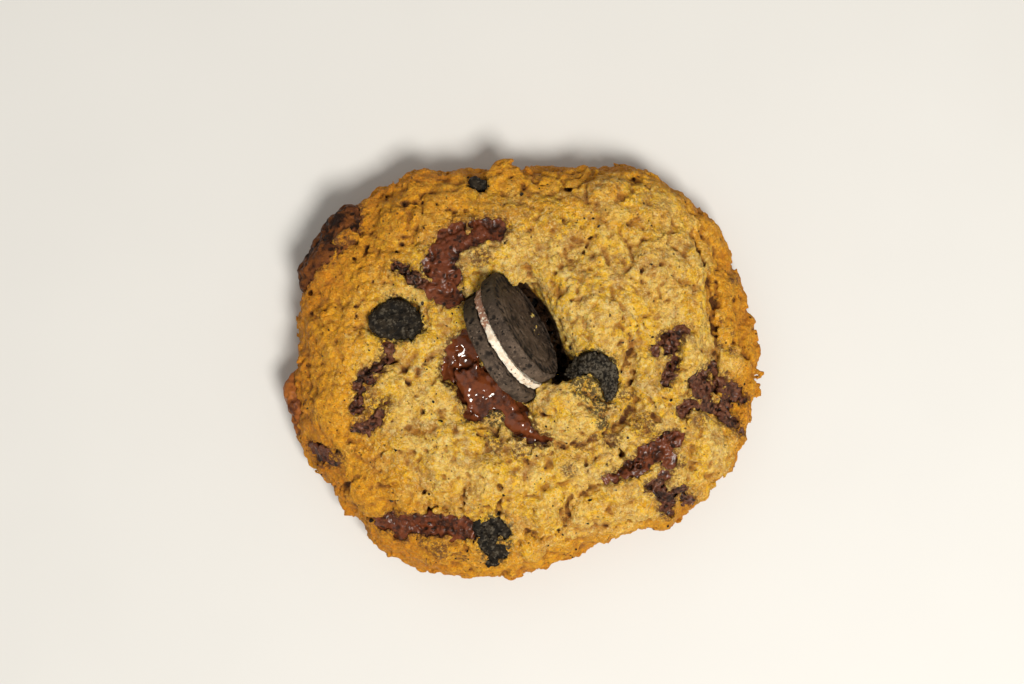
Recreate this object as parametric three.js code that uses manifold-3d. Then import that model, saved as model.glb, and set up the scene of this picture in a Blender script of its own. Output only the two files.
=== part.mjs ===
// A thick, soft-baked cookies and cream cookie lying on its flat underside.
// A mini chocolate sandwich biscuit stands on edge in the middle of the dough dome,
// among melted chocolate pieces and broken dark biscuit. Units are millimetres, +Z is up.
// +X runs along the cookie's longer side.

import * as THREE from 'three';
import Module from 'manifold-3d';
import { mergeVertices } from 'three/addons/utils/BufferGeometryUtils.js';
import { ImprovedNoise } from 'three/addons/math/ImprovedNoise.js';

const wasm = await Module();
wasm.setup();

// ---------------------------------------------------------------- driving dimensions

// The dough's widest outline seen from above: one radius every 15 degrees from +X.
const OUTLINE_RADII = [
  51.0, 50.6, 52.0, 51.4, 49.4, 45.2, 43.8, 45.9, 49.2, 49.6, 50.4, 50.8,
  49.4, 50.4, 49.6, 49.4, 48.9, 46.2, 44.2, 41.2, 40.6, 46.9, 48.4, 50.6,
];
const DOME_TOP = 26.0;          // height of the plain dome, before its mounds
const WIDEST_HEIGHT = 8.5;      // where the side bulges out furthest
const FOOT_RATIO = 0.93;        // flat underside against the widest outline
const DOME_PLAN_POWER = 2.7;    // above 2, the top is broader and the shoulder tighter
const DOME_RISE_POWER = 2.3;
const DOUGH_DETAIL = 14;        // sphere subdivisions under the dough's surface
const UNDERSIDE_SHARE = 0.16;   // how finely the flat underside is divided, against the top

const COBBLE_SIZE = 8.5;        // spacing of the crust's rounded lumps
const COBBLE_HEIGHT = 1.5;
const COBBLE_MEAN = 0.4;        // the lumps' average, so that they don't swell the dough
const SWELL_SIZE = 19;          // spacing of the slow unevenness under them
const SWELL_HEIGHT = 1.6;
const LEDGE_DROP = 3.2;         // how far the right-hand rim lies below the dome
const LEDGE_BLEND = 1.6;
const SHOULDER_BLEND = 6;       // the top's relief dies away over this height above the widest
const FOOT_BLEND = 5;           // and the side's over this height above the underside
const MEAN_RADIUS = 50;         // turns degrees round the side into millimetres

const FIT_GAP = 0.32;           // clearance between a piece and the hole it sits in
const POCKET_RISE = 5;          // how far a pocket's cutter reaches above the crust
const LUMP_FULLNESS = 0.55;     // 1 is an ellipse in section, less is fuller
const LUMP_END_REACH = 0.6;     // how far a lump's ends pass its route, in half-widths

const MINI_RADIUS = 12.8;
const MINI_WAFER_THICKNESS = 3.7;
const MINI_WAFER_EDGE = 1.1;    // rounding of a wafer's edges
const MINI_CREAM_RADIUS = 12.0;
const MINI_CREAM_THICKNESS = 1.2;
const MINI_CREAM_EDGE = 0.3;
const MINI_CENTRE = new THREE.Vector3(-2.8, 7.0, 25.2);
const MINI_YAW = 30;            // heading of its axis, degrees from +X
const MINI_LEAN = 17;           // its top leans away from that heading
const MINI_SLIDE_LEFT = 1.0;    // each wafer has slipped along the sandwich's long side
const MINI_SLIDE_RIGHT = -0.8;
const MINI_SIDES = 36;

// ---------------------------------------------------------------- relief of the dough

// Mounds: place on the plan, radius and height.
const MOUNDS = [
  { x: 7.6, y: -8.7, radius: 6.5, height: 3.0 },
  { x: 13.5, y: 15.0, radius: 5.0, height: 2.0 },
  { x: 17.0, y: 7.0, radius: 4.0, height: 2.2 },
  { x: 27.0, y: 20.0, radius: 12.0, height: 2.4 },
  { x: 35.0, y: 6.0, radius: 4.5, height: 1.6 },
  { x: -26.0, y: 29.0, radius: 8.5, height: 1.2 },
  { x: -39.5, y: 6.5, radius: 6.5, height: 1.5 },
  { x: -40.5, y: -6.5, radius: 6.0, height: 1.4 },
  { x: -17.5, y: -12.5, radius: 8.0, height: 1.3 },
  { x: -7.0, y: -23.5, radius: 7.0, height: 1.2 },
  { x: 16.0, y: -28.5, radius: 7.0, height: 1.3 },
  { x: 41.0, y: -17.0, radius: 7.0, height: 1.4 },
  { x: 3.4, y: -31.4, radius: 3.4, height: 1.8 },
  { x: -34.0, y: -25.5, radius: 6.0, height: 1.2 },
  { x: 20.0, y: 36.0, radius: 8.0, height: 1.2 },
  { x: -15.0, y: -3.0, radius: 8.0, height: -2.6 },
  { x: -5.0, y: -9.0, radius: 6.0, height: -2.0 },
];

// Cracks and valleys: a path on the plan, half-width and depth.
const CRACKS = [
  { path: [[1.0, 18.4], [5.4, 10.8], [9.2, 2.6]], width: 2.6, depth: 5.0 },
  { path: [[4.4, -15.6], [11.2, -16.0], [16.5, -14.2], [21.3, -10.0], [22.7, -5.0], [21.9, 2.0]],
    width: 1.7, depth: 2.2 },
  { path: [[8.8, -33.0], [9.9, -26.8], [15.6, -24.3], [21.3, -22.4]], width: 1.5, depth: 2.0 },
  { path: [[9.9, 23.5], [14.5, 28.1]], width: 1.3, depth: 1.8 },
  { path: [[-5.3, -24.3], [-5.1, -31.3]], width: 1.2, depth: 1.6 },
  { path: [[39.5, -8.7], [46.5, -9.2]], width: 1.3, depth: 2.4 },
  { path: [[37.0, 28.0], [39.6, 20.0], [40.2, 12.0], [40.6, 5.0], [41.0, -5.0]],
    width: 1.5, depth: 2.6 },
];

// The inner edge of the lower rim along the right-hand side, from top to bottom.
const LEDGE_EDGE = [[35.0, 32.0], [39.6, 20.0], [40.2, 12.0], [41.0, 2.0], [41.6, -9.0]];
const LEDGE_FADE = 6;           // the drop dies away over this length past either end

// Knobs and crumbs of dough that stand out from the rim.
const LUMP_COBBLE_SIZE = 1.3;
const EDGE_LUMPS = [
  { x: 51.4, y: -1.0, z: 8.0, radius: 1.8 },
  { x: 50.9, y: -4.2, z: 6.6, radius: 1.7 },
  { x: 18.0, y: -35.0, z: 4.4, radius: 3.0 },
  { x: -3.6, y: 42.6, z: 13.5, radius: 3.4 },
];

// ---------------------------------------------------------------- pieces set in the dough

// Each piece lies along a route in the crust. A route on the top is in plan millimetres;
// one round the side is in degrees from +X and height. Widths are half-widths along it.
const DARK_BISCUIT = [
  { name: 'biscuit_chunk_left', route: [[-30.4, 9.8], [-26.9, 11.0], [-23.4, 8.8]],
    widths: [3.4, 4.8, 3.2], rise: 1.6, depth: 4.5, detail: 2 },
  { name: 'biscuit_chunk_right', route: [[9.4, -0.8], [13.2, 1.6], [17.2, 0.2], [18.2, -6.0]],
    widths: [1.4, 2.4, 2.8, 1.6], rise: 1.0, depth: 3.5, detail: 2 },
  { name: 'biscuit_chunk_bottom', route: [[-5.6, -33.0], [-6.0, -36.4], [-6.4, -40.4]],
    widths: [3.6, 3.2, 1.7], rise: 1.4, depth: 3.5, detail: 2 },
  { name: 'biscuit_chip_top', route: [[-10.7, 40.8], [-9.3, 40.4]],
    widths: [1.6, 1.7], rise: 0.8, depth: 2.4, detail: 2 },
];

const CHOCOLATE = [
  { name: 'chocolate_pool', route: [[-13.2, 7.0], [-11.4, 1.2], [-8.2, -4.8], [-3.6, -9.8], [3.4, -15.2]],
    widths: [2.4, 5.8, 6.4, 4.0, 1.5], rise: 0.7, depth: 3.5, detail: 3 },
  { name: 'chocolate_crescent',
    route: [[-5.5, 30.1], [-9.8, 29.8], [-14.5, 27.2], [-17.4, 22.4], [-16.2, 17.2]],
    widths: [1.9, 2.2, 2.7, 3.2, 1.9], rise: 0.7, depth: 3.5, detail: 2 },
  { name: 'chocolate_spur', route: [[-27.0, 21.9], [-22.7, 19.3]],
    widths: [1.5, 1.6], rise: 0.6, depth: 2.5, detail: 2 },
  { name: 'chocolate_left', route: [[-28.8, 2.6], [-32.4, -1.0], [-34.8, -6.0], [-33.0, -10.4]],
    widths: [1.3, 2.3, 2.0, 2.0], rise: 0.6, depth: 3.0, detail: 2 },
  { name: 'chocolate_lower_left', route: [[-28.4, -31.4], [-21.5, -32.4], [-15.6, -32.8], [-11.4, -33.6]],
    widths: [1.7, 2.7, 2.3, 1.4], rise: 0.7, depth: 3.5, detail: 2 },
  { name: 'chocolate_inner_right', route: [[30.2, 6.8], [31.6, 3.4], [30.4, -2.8]],
    widths: [2.6, 1.9, 1.1], rise: 0.6, depth: 2.8, detail: 2 },
  { name: 'chocolate_right', route: [[39.2, 0.6], [38.0, -3.2], [36.8, -6.6], [33.6, -8.4]],
    widths: [1.4, 2.4, 2.3, 1.5], rise: 0.8, depth: 3.2, detail: 2 },
  { name: 'chocolate_ledge', route: [[43.4, -3.2], [45.4, -6.8], [44.4, -11.4]],
    widths: [1.9, 2.9, 2.2], rise: 0.9, depth: 3.2, detail: 2 },
  { name: 'chocolate_streak', route: [[18.6, -20.9], [24.0, -18.8], [29.0, -15.8], [31.4, -13.4]],
    widths: [1.5, 2.4, 2.4, 1.5], rise: 0.6, depth: 3.0, detail: 2 },
  { name: 'chocolate_bottom_right', route: [[27.4, -25.2], [31.0, -27.8], [35.4, -28.8]],
    widths: [2.0, 3.0, 2.0], rise: 0.8, depth: 3.2, detail: 2 },
  { name: 'chocolate_edge_upper_left', side: true,
    route: [[137, 14.0], [143, 13.0], [151, 12.0], [159, 11.5]],
    widths: [3.0, 5.4, 5.4, 3.4], rise: 3.6, depth: 4.5, detail: 2 },
  { name: 'chocolate_edge_left', side: true, route: [[181, 9.5], [188, 9.0], [195, 8.5]],
    widths: [1.9, 3.6, 1.9], rise: 2.1, depth: 3.5, detail: 2 },
  { name: 'chocolate_edge_lower_left', side: true, route: [[200, 12.5], [203, 15.5], [206, 18.4]],
    widths: [2.1, 2.5, 1.8], rise: 0.9, depth: 2.8, detail: 2 },
];

// ---------------------------------------------------------------- materials

const DOUGH_FINISH = { color: 0xc99a45, roughness: 0.85, metalness: 0 };
const BISCUIT_FINISH = { color: 0x3a3026, roughness: 0.9, metalness: 0 };
const WAFER_FINISH = { color: 0x4f4033, roughness: 0.85, metalness: 0 };
const CREAM_FINISH = { color: 0xe6d8c6, roughness: 0.6, metalness: 0 };
const CHOCOLATE_FINISH = { color: 0x5a2f1c, roughness: 0.35, metalness: 0 };

// ---------------------------------------------------------------- small helpers

const { smoothstep, degToRad, euclideanModulo, lerp } = THREE.MathUtils;
const noise = new ImprovedNoise();

// Rounded lumps with sharp creases between them, from 0 in a crease to about 1.
const cobbles = (point, size) =>
  2 * Math.abs(noise.noise(point.x / size, point.y / size, point.z / size));

const swell = (point, size) =>
  noise.noise(point.x / size + 7.3, point.y / size - 3.1, point.z / size + 1.7);

// Smooth value between the second and third of four equally spaced ones.
function cubicBetween(t, a, b, c, d) {
  const slopeB = (c - a) / 2;
  const slopeC = (d - b) / 2;
  return b + t * (slopeB + t * (3 * (c - b) - 2 * slopeB - slopeC + t * (2 * (b - c) + slopeB + slopeC)));
}

function outlineRadius(angle) {
  const count = OUTLINE_RADII.length;
  const turn = euclideanModulo(angle / (2 * Math.PI), 1) * count;
  const first = Math.floor(turn);
  const near = (step) => OUTLINE_RADII[(first + step + count) % count];
  return cubicBetween(turn - first, near(-1), near(0), near(1), near(2));
}

// Distance on the plan from a point to a broken line, signed: positive on its left.
function distanceToPath(x, y, path) {
  let best = Infinity;
  let signed = 0;
  for (let i = 0; i + 1 < path.length; i += 1) {
    const [ax, ay] = path[i];
    const [bx, by] = path[i + 1];
    const along = ((x - ax) * (bx - ax) + (y - ay) * (by - ay)) / ((bx - ax) ** 2 + (by - ay) ** 2);
    const t = Math.min(1, Math.max(0, along));
    const dx = x - lerp(ax, bx, t);
    const dy = y - lerp(ay, by, t);
    const distance = Math.hypot(dx, dy);
    if (distance < best) {
      best = distance;
      signed = Math.sign((bx - ax) * dy - (by - ay) * dx) * distance;
    }
  }
  return signed;
}

// ---------------------------------------------------------------- the dough's surface

// The half section of the dome, from the middle of its top, out round its side and back
// under its foot. reach is a share of the outline's radius.
const SECTION = makeSection();

function makeSection() {
  const stations = [];
  const steps = 90;
  for (let i = 0; i <= steps; i += 1) {
    const a = (i / steps) * Math.PI / 2;
    stations.push({
      reach: Math.sin(a) ** (2 / DOME_PLAN_POWER),
      height: WIDEST_HEIGHT + (DOME_TOP - WIDEST_HEIGHT) * Math.max(0, Math.cos(a)) ** (2 / DOME_RISE_POWER),
    });
  }
  for (let i = 1; i <= steps / 3; i += 1) {
    const a = (i / (steps / 3)) * Math.PI / 2;
    stations.push({
      reach: FOOT_RATIO + (1 - FOOT_RATIO) * Math.cos(a),
      height: WIDEST_HEIGHT * (1 - Math.sin(a)),
    });
  }
  for (let i = 1; i <= steps / 6; i += 1) {
    stations.push({ reach: FOOT_RATIO * (1 - i / (steps / 6)), height: 0 });
  }
  let share = 0;
  stations.forEach((station, i) => {
    const next = stations[Math.min(i + 1, stations.length - 1)];
    const last = stations[Math.max(i - 1, 0)];
    const out = MEAN_RADIUS * (next.reach - last.reach);
    const up = next.height - last.height;
    const length = Math.hypot(out, up);
    station.normalOut = -up / length;
    station.normalUp = out / length;
    if (i > 0) {
      const slant = Math.hypot(MEAN_RADIUS * (station.reach - last.reach), station.height - last.height);
      const underside = station.height === 0 && last.height === 0;
      share += slant * (station.reach + last.reach) * (underside ? UNDERSIDE_SHARE : 1);
    }
    station.share = share;
  });
  stations.forEach((station) => { station.share /= share; });
  return stations;
}

// The section at the first place where key passes value, going from the top to the foot.
function sectionWhere(key, value) {
  const rising = key !== 'height';
  let i = 1;
  while (i < SECTION.length - 1 && (rising ? SECTION[i][key] < value : SECTION[i][key] > value)) {
    i += 1;
  }
  const a = SECTION[i - 1];
  const b = SECTION[i];
  const t = Math.min(1, Math.max(0, (value - a[key]) / (b[key] - a[key])));
  return {
    reach: lerp(a.reach, b.reach, t),
    height: lerp(a.height, b.height, t),
    normalOut: lerp(a.normalOut, b.normalOut, t),
    normalUp: lerp(a.normalUp, b.normalUp, t),
  };
}

function ledgeDrop(x, y) {
  const top = LEDGE_EDGE[0][1];
  const bottom = LEDGE_EDGE[LEDGE_EDGE.length - 1][1];
  const beyond = distanceToPath(x, y, LEDGE_EDGE);
  const within = smoothstep(y, bottom - LEDGE_FADE, bottom) * (1 - smoothstep(y, top - LEDGE_FADE, top));
  return LEDGE_DROP * within * smoothstep(beyond, -LEDGE_BLEND / 2, LEDGE_BLEND);
}

// How far the real crust stands above the plain dome at a point of it.
function relief(point) {
  let rise = SWELL_HEIGHT * swell(point, SWELL_SIZE);
  rise += COBBLE_HEIGHT * (cobbles(point, COBBLE_SIZE) - COBBLE_MEAN);
  let topRelief = -ledgeDrop(point.x, point.y);
  for (const mound of MOUNDS) {
    const away = Math.hypot(point.x - mound.x, point.y - mound.y) / mound.radius;
    topRelief += mound.height * Math.exp(-(away ** 2));
  }
  for (const crack of CRACKS) {
    const away = distanceToPath(point.x, point.y, crack.path) / crack.width;
    topRelief -= crack.depth * Math.exp(-(away ** 2));
  }
  const onTop = smoothstep(point.z, WIDEST_HEIGHT, WIDEST_HEIGHT + SHOULDER_BLEND);
  const aboveFoot = smoothstep(point.z, 0, FOOT_BLEND);
  return rise * aboveFoot + topRelief * onTop;
}

// A point of the crust and the direction that faces out of it there.
function crust(angle, section) {
  const radius = section.reach * outlineRadius(angle);
  const normal = new THREE.Vector3(
    section.normalOut * Math.cos(angle), section.normalOut * Math.sin(angle), section.normalUp,
  ).normalize();
  const point = new THREE.Vector3(radius * Math.cos(angle), radius * Math.sin(angle), section.height);
  point.addScaledVector(normal, section.height > 0 ? relief(point) : 0);
  point.z = Math.max(0, point.z);
  return { point, normal };
}

function crustAbovePlan(x, y) {
  const angle = Math.atan2(y, x);
  const reach = Math.min(0.999, Math.hypot(x, y) / outlineRadius(angle));
  return crust(angle, sectionWhere('reach', reach));
}

const crustAtSide = (angle, height) => crust(angle, sectionWhere('height', height));

// ---------------------------------------------------------------- solids

// A sphere's vertices, each moved by shape(direction).
function shapedSphere(detail, shape) {
  const geometry = new THREE.IcosahedronGeometry(1, detail);
  geometry.deleteAttribute('normal');
  geometry.deleteAttribute('uv');
  const merged = mergeVertices(geometry, 1e-5);
  const positions = merged.attributes.position;
  const direction = new THREE.Vector3();
  for (let i = 0; i < positions.count; i += 1) {
    direction.fromBufferAttribute(positions, i).normalize();
    const point = shape(direction);
    positions.setXYZ(i, point.x, point.y, point.z);
  }
  return merged;
}

function toSolid(geometry) {
  const bare = geometry.clone();
  bare.deleteAttribute('normal');
  bare.deleteAttribute('uv');
  const merged = mergeVertices(bare, 1e-4);
  return new wasm.Manifold(new wasm.Mesh({
    numProp: 3,
    vertProperties: new Float32Array(merged.attributes.position.array),
    triVerts: new Uint32Array(merged.index.array),
  }));
}

function toGeometry(solid) {
  const mesh = solid.getMesh();
  const geometry = new THREE.BufferGeometry();
  geometry.setAttribute('position', new THREE.BufferAttribute(mesh.vertProperties, 3));
  geometry.setIndex(new THREE.BufferAttribute(mesh.triVerts, 1));
  geometry.computeVertexNormals();
  return geometry;
}

function doughSolid() {
  let dough = toSolid(shapedSphere(DOUGH_DETAIL, (direction) => {
    const angle = Math.atan2(direction.y, direction.x);
    return crust(angle, sectionWhere('share', (1 - direction.z) / 2)).point;
  }));
  for (const { x, y, z, radius } of EDGE_LUMPS) {
    const lump = shapedSphere(1, (direction) => {
      const reach = radius * (0.8 + 0.4 * cobbles(direction, LUMP_COBBLE_SIZE));
      return new THREE.Vector3(x, y, z).addScaledVector(direction, reach);
    });
    dough = dough.add(toSolid(lump));
  }
  return dough;
}

// A rounded lump that follows the crust along its route. grow makes its pocket's cutter.
function lumpSolid({ route, widths, rise, depth, detail, side = false }, grow = 0) {
  const spine = new THREE.CatmullRomCurve3(
    route.map(([x, y]) => new THREE.Vector3(side ? degToRad(x) * MEAN_RADIUS : x, y, 0)),
  );
  const above = grow > 0 ? POCKET_RISE : rise;
  const below = depth + grow;
  const widthAt = (t) => {
    const place = t * (widths.length - 1);
    const i = Math.min(widths.length - 2, Math.floor(place));
    return lerp(widths[i], widths[i + 1], place - i) + grow;
  };
  return toSolid(shapedSphere(detail, ({ x: along, y: across, z: up }) => {
    const t = 0.5 + 0.5 * along;
    const round = Math.sqrt(Math.max(0, 1 - along * along));
    const full = round ** LUMP_FULLNESS / Math.max(round, 1e-6);
    const tangent = spine.getTangent(t);
    const place = spine.getPoint(t);
    const endReach = LUMP_END_REACH * widthAt(t) + grow;
    place.addScaledVector(tangent, Math.sign(along) * along * along * endReach);
    const sideways = across * full * widthAt(t);
    place.x -= tangent.y * sideways;
    place.y += tangent.x * sideways;
    const { point, normal } = side
      ? crustAtSide(place.x / MEAN_RADIUS, place.y)
      : crustAbovePlan(place.x, place.y);
    return point.addScaledVector(normal, up * full * (up > 0 ? above : below));
  }));
}

// A disc with rounded edges about its own Z axis.
function discSolid(radius, thickness, edge, edgeSteps) {
  const half = thickness / 2;
  const profile = [new THREE.Vector2(0, -half)];
  for (const end of [-1, 1]) {
    for (let i = 0; i <= edgeSteps; i += 1) {
      const a = (Math.PI / 2) * (end < 0 ? i / edgeSteps - 1 : i / edgeSteps);
      const out = radius - edge + edge * Math.cos(a);
      profile.push(new THREE.Vector2(out, end * (half - edge) + edge * Math.sin(a)));
    }
  }
  profile.push(new THREE.Vector2(0, half));
  const lathe = new THREE.LatheGeometry(profile, MINI_SIDES);
  return toSolid(lathe.rotateX(Math.PI / 2));
}

// The sandwich's own directions: its axis, its long side on the plan, and up its face.
function miniDirections() {
  const yaw = degToRad(MINI_YAW);
  const lean = degToRad(MINI_LEAN);
  const axis = new THREE.Vector3(
    Math.cos(yaw) * Math.cos(lean), Math.sin(yaw) * Math.cos(lean), Math.sin(lean),
  );
  const longSide = new THREE.Vector3(Math.sin(yaw), -Math.cos(yaw), 0);
  return { axis, longSide, up: new THREE.Vector3().crossVectors(axis, longSide).negate() };
}

// The sandwich's three layers, or with grow the holes that they stand in.
function miniLayers(grow = 0) {
  const { axis, longSide, up } = miniDirections();
  const step = (MINI_CREAM_THICKNESS + MINI_WAFER_THICKNESS) / 2 + FIT_GAP;
  const place = (solid, offset, slide) => {
    const centre = MINI_CENTRE.clone().addScaledVector(axis, offset).addScaledVector(longSide, slide);
    const matrix = new THREE.Matrix4().makeBasis(up.clone().cross(axis), up, axis).setPosition(centre);
    return solid.transform(matrix.elements);
  };
  const wafer = () => discSolid(MINI_RADIUS + grow, MINI_WAFER_THICKNESS + 2 * grow, MINI_WAFER_EDGE, 2);
  const cream = discSolid(MINI_CREAM_RADIUS + grow, MINI_CREAM_THICKNESS + 2 * grow, MINI_CREAM_EDGE, 1);
  return [
    { name: 'mini_wafer_left', solid: place(wafer(), -step, MINI_SLIDE_LEFT), finish: WAFER_FINISH },
    { name: 'mini_cream', solid: place(cream, 0, 0), finish: CREAM_FINISH },
    { name: 'mini_wafer_right', solid: place(wafer(), step, MINI_SLIDE_RIGHT), finish: WAFER_FINISH },
  ];
}

// ---------------------------------------------------------------- the cookie

function makeCookie() {
  const layers = miniLayers();
  const cutters = miniLayers(FIT_GAP).map((layer) => layer.solid);
  const pieces = [...layers];
  for (const [list, finish] of [[DARK_BISCUIT, BISCUIT_FINISH], [CHOCOLATE, CHOCOLATE_FINISH]]) {
    for (const item of list) {
      let solid = lumpSolid(item);
      for (const cutter of cutters) {
        solid = solid.subtract(cutter);
      }
      cutters.push(lumpSolid(item, FIT_GAP));
      pieces.push({ name: item.name, solid, finish });
    }
  }
  let dough = doughSolid();
  for (const cutter of cutters) {
    dough = dough.subtract(cutter);
  }
  pieces.unshift({ name: 'cookie_dough', solid: dough, finish: DOUGH_FINISH });

  const cookie = new THREE.Group();
  for (const { name, solid, finish } of pieces) {
    const mesh = new THREE.Mesh(toGeometry(solid), new THREE.MeshStandardMaterial(finish));
    mesh.name = name;
    cookie.add(mesh);
  }
  return cookie;
}

const cookie = makeCookie();

export default cookie;
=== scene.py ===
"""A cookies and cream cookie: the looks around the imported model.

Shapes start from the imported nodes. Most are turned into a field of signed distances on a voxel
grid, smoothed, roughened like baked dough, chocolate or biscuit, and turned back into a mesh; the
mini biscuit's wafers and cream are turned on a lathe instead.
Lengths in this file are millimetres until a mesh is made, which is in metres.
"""

import itertools
import math
from collections import namedtuple

import bpy
import numpy as np
import openvdb as vdb
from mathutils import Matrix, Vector


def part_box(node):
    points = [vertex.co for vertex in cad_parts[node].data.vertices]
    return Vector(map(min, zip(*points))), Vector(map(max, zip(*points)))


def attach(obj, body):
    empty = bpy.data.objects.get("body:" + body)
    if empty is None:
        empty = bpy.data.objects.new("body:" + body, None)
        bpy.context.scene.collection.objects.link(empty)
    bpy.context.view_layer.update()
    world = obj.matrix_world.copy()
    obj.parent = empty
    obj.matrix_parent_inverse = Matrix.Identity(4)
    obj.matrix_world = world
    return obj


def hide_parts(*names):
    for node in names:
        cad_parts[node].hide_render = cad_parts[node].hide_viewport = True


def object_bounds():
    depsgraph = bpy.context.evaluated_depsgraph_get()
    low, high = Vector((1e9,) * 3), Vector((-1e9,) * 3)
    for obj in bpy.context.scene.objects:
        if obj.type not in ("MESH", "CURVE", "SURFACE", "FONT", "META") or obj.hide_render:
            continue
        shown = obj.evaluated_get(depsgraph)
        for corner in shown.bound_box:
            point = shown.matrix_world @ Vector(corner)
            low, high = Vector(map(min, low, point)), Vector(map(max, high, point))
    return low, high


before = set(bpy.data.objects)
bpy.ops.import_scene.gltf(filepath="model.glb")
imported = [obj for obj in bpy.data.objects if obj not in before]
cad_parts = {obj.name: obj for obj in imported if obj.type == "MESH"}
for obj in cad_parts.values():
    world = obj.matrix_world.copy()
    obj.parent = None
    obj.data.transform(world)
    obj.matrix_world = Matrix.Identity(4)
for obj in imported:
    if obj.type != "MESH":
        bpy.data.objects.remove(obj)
cad_low, cad_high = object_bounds()

MM = 0.001

# ---------------------------------------------------------------- choices

DOUGH_LOW, DOUGH_HIGH = (-57, -50, -3), (57, 50, 42)     # the box that is turned into voxels
DOUGH_VOXEL = 0.45
PIECE_VOXEL = 0.3
DOUGH_SMOOTHING = 8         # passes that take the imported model's facets away
MASK_REACH = 4.4            # how far from a piece its stain can reach
PIECE_REACH = 2.4           # distances from a piece's own surface are known this far
BAND = 3.2                  # broad relief is worked out this close to the crust
FINE_BAND = 1.3             # and the crumbs this close
EDGE_BAND = 2.2             # and the ragged edges of openings this close
FILL_GAP = 0.55             # closes the clearance round the pieces set in the dough
LIMIT = 0.02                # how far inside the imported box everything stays
DEEPEST_CREASE = 2.6
DEEPEST_GAP = 4.5           # of the dark gap beside the mini biscuit
DEEPEST_MELTED = 3.0        # of the openings that melted chocolate shows in
CRUMB_COUNT = 900
WARM = (1.0, 0.97, 0.91)    # the studio light

# Camera: straight above the cookie, as in the photograph.
CAMERA_PLACE = (-2.5, 6.0, 445.0)
CAMERA_LENS = 70.0

# Fine cracks in the crust: a path on the plan, half-width and depth.
FINE_CRACKS = [
    ([(-16.8, 34.2), (-14.7, 33.6)], 0.4, 1.2),
    ([(-12.5, 33.9), (-10.5, 33.0), (-9.1, 32.2)], 0.4, 1.2),
    ([(9.4, 22.9), (11.8, 24.3), (13.2, 26.0), (14.6, 28.4)], 0.45, 1.2),
    ([(2.2, 17.4), (5.0, 11.6), (7.2, 7.2), (9.2, 2.6)], 1.5, 2.4),
    ([(0.6, 22.4), (1.6, 19.4)], 0.7, 1.2),
    ([(1.2, 15.4), (3.8, 10.0), (6.2, 4.0)], 1.6, 2.6),
    ([(37.0, 27.0), (39.4, 20.1), (40.4, 14.8)], 0.5, 1.5),
    ([(40.4, 14.8), (40.9, 10.0), (41.4, 4.2), (41.2, -4.5)], 0.9, 2.1),
    ([(41.3, 19.3), (41.5, 16.5), (41.6, 14.4)], 0.6, 1.8),
    ([(38.2, 29.2), (41.6, 26.0), (43.0, 22.0)], 0.4, 1.1),
    ([(8.8, 39.2), (10.8, 38.1)], 0.5, 1.2),
    ([(26.8, 21.9), (28.4, 22.2), (29.4, 22.8)], 0.4, 1.0),
    ([(-28.7, 1.6), (-26.8, 2.0), (-25.3, 0.3)], 0.5, 1.4),
    ([(-39.2, -25.3), (-37.4, -24.6), (-35.9, -22.3)], 0.5, 1.2),
    ([(-31.1, -24.6), (-29.0, -24.8), (-27.2, -23.9)], 0.4, 1.0),
    ([(-22.0, -24.1), (-20.8, -26.9), (-20.4, -29.7), (-17.8, -28.8), (-15.3, -30.1), (-13.3, -30.3)],
     0.4, 0.8),
    ([(-12.3, -25.3), (-13.2, -27.8), (-12.9, -30.1)], 0.4, 1.4),
    ([(-4.8, -26.8), (-5.4, -29.4), (-5.1, -32.0)], 0.4, 1.1),
    ([(8.8, -33.2), (9.3, -29.6), (10.2, -26.4)], 0.45, 1.2),
    ([(11.6, -28.1), (12.3, -26.4), (13.5, -25.5), (16.1, -24.2)], 0.5, 1.6),
    ([(17.0, -33.3), (18.3, -33.0)], 0.4, 0.7),
    ([(0.0, -33.6), (3.4, -35.6), (6.8, -35.2)], 0.5, 1.2),
    ([(4.4, -14.9), (8.9, -16.0), (12.7, -15.6), (16.0, -13.8), (20.3, -11.2), (22.6, -8.0)], 0.6, 1.3),
    ([(18.0, -15.4), (19.1, -15.6), (20.2, -15.9), (20.7, -17.7)], 0.5, 1.6),
    ([(27.4, -9.6), (28.4, -10.6)], 0.6, 1.8),
    ([(41.7, -8.1), (43.7, -8.8), (46.5, -8.6), (47.1, -10.6)], 0.6, 2.0),
    ([(34.2, -27.2), (35.8, -28.0), (36.9, -29.5)], 0.5, 1.6),
    ([(-36.9, -29.3), (-34.4, -31.2), (-31.6, -32.7)], 0.5, 1.2),
    ([(-46.6, 1.0), (-44.4, 0.6), (-42.6, 1.4)], 0.5, 1.0),
    ([(22.2, 3.8), (22.8, -3.1), (22.6, -9.9)], 1.8, 1.2),
]

# Clumps that stand up from the crust with a sharp edge: centre on the plan and radius.
CLUMPS = [
    (-8.7, -28.3, 3.3), (37.0, -12.6, 3.4), (-34.5, -25.5, 3.2), (-16.9, -26.1, 3.0), (44.6, 1.6, 1.5),
]
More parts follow.
